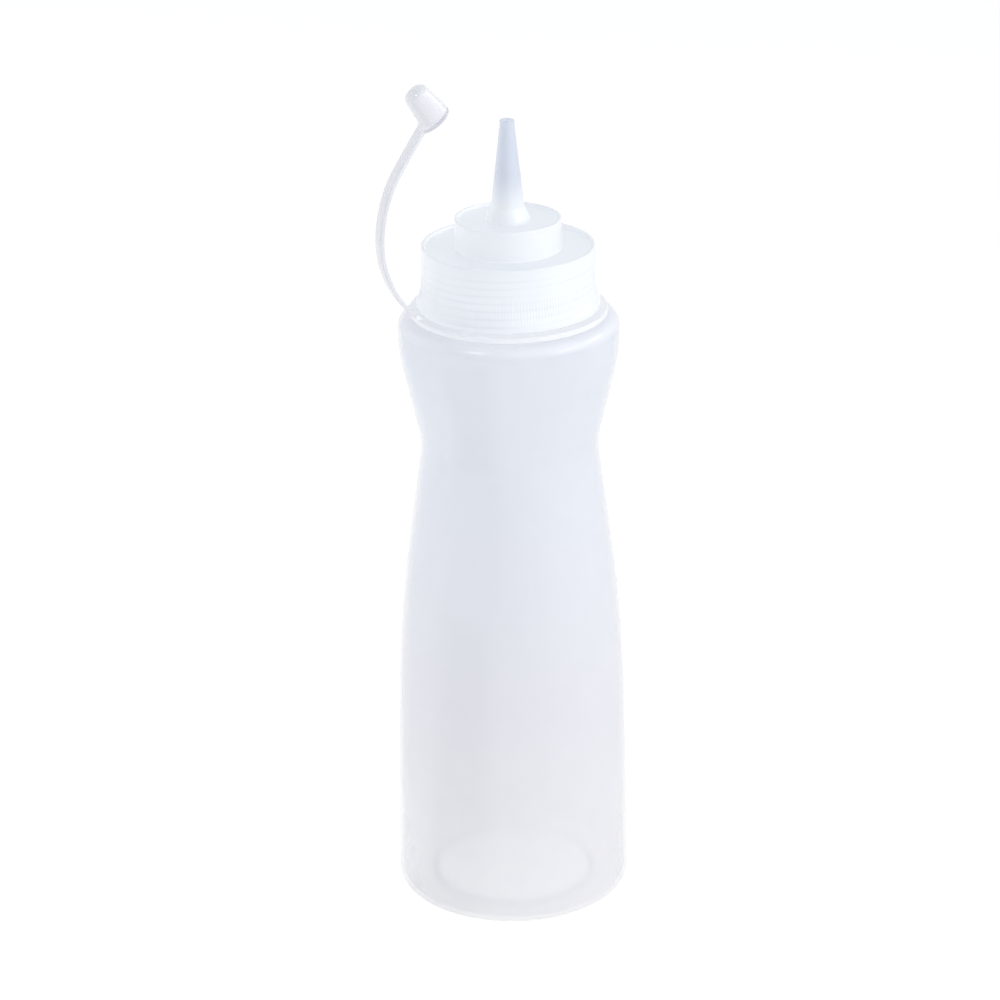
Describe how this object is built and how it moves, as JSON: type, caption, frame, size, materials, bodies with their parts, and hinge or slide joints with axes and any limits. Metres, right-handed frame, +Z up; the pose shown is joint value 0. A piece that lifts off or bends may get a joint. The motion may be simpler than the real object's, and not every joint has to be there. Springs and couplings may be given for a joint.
{
  "type": "condiment squeeze bottle",
  "caption": "Waisted translucent squeeze bottle with a screw-on nozzle cap, a loose tether ring under the cap, and a tip cap on a curved flexible strap.",
  "frame": {"origin": "middle of the bottle's foot, in the plane that it stands on", "axes": "+Z up the bottle's axis, through the nozzle; the strap and the open tip cap lean out to -X and a little to -Y, which is the front"},
  "size_m": [0.0666, 0.0646, 0.2315],
  "materials": {
    "bottle_plastic": "milky translucent blown polyethylene, satin, uncoloured",
    "cap_plastic": "milky translucent moulded polyethylene, satin, uncoloured",
    "tether_plastic": "soft moulded polyethylene, satin, uncoloured",
    "washer_foam": "white closed-cell foam, matte"
  },
  "bodies": {
    "bottle": {"bottle_body": "bottle_plastic"},
    "seal": {"seal_washer": "washer_foam"},
    "closure": {"screw_cap": "cap_plastic"},
    "ring": {"tether_ring": "tether_plastic"},
    "strap": {"tether_strap": "tether_plastic"},
    "tip": {"tip_cap": "tether_plastic"}
  },
  "joints": [
    {"name": "cap_lift", "type": "slide", "parent": "bottle", "child": "seal", "axis": [0, 0, 1], "range_m": [0, 0.006]},
    {"name": "cap_turn", "type": "hinge", "parent": "seal", "child": "closure", "pos_m": [0, 0, 0.177], "axis": [0, 0, 1], "range_deg": [0, 540]},
    {"name": "tether_turn", "type": "hinge", "parent": "closure", "child": "ring", "pos_m": [0, 0, 0.169], "axis": [0, 0, 1], "continuous": true},
    {"name": "tether_swing", "type": "hinge", "parent": "ring", "child": "strap", "pos_m": [-0.01116, -0.00406, 0.19238], "axis": [-0.342, 0.9397, 0], "range_deg": [0, 36.9], "stiffness_Nm_per_rad": 0.0025, "deforming": ["tether_strap"]},
    {"name": "tip_cap_push", "type": "slide", "parent": "strap", "child": "tip", "axis": [0.5642, 0.2054, -0.7997], "range_m": [0, 0.0095], "stiffness_N_per_m": 20}
  ],
  "couplings": [
    {"joint": "cap_lift", "follows": "cap_turn", "m_per_rad": 0.0006366}
  ]
}
